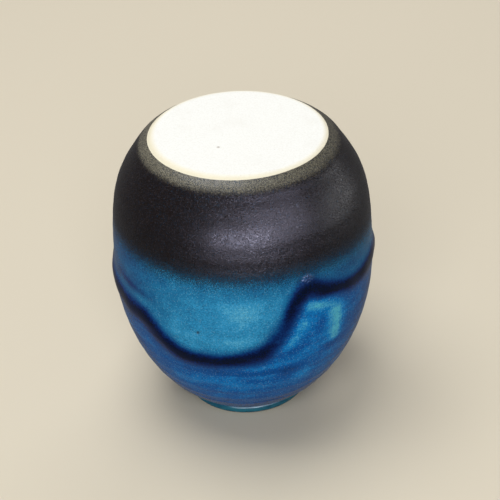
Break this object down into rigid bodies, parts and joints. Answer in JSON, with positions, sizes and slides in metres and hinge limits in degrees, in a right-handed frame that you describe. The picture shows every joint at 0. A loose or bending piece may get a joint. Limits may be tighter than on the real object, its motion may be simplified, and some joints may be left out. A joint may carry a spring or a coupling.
{
  "type": "shaving mug",
  "caption": "Handleless barrel-shaped stoneware lather mug turned over on its lip, bare base up, with dipped dark and blue glaze coats.",
  "frame": {"origin": "centre of the mouth plane, on the surface that the lip stands on", "axes": "+Z along the wheel axis from the lip towards the bare base; -Y is the side with the raised peak of the glaze line a little towards +X"},
  "size_m": [0.0922, 0.0912, 0.103],
  "materials": {
    "bare_clay": "matte, wiped bare stoneware",
    "iron_glaze": "satin matte, fine crystals",
    "turquoise_glaze": "semi-gloss, speckled",
    "cobalt_glaze": "gloss, throwing rings",
    "indigo_glaze": "gloss",
    "lip_glaze": "gloss",
    "liner_glaze": "gloss"
  },
  "bodies": {
    "root": {"clay_body": "bare_clay", "iron_glaze_coat": "iron_glaze", "turquoise_glaze_coat": "turquoise_glaze", "cobalt_glaze_coat": "cobalt_glaze", "indigo_glaze_roll": "indigo_glaze", "lip_glaze_bead": "lip_glaze", "liner_glaze_coat": "liner_glaze"}
  },
  "joints": []
}
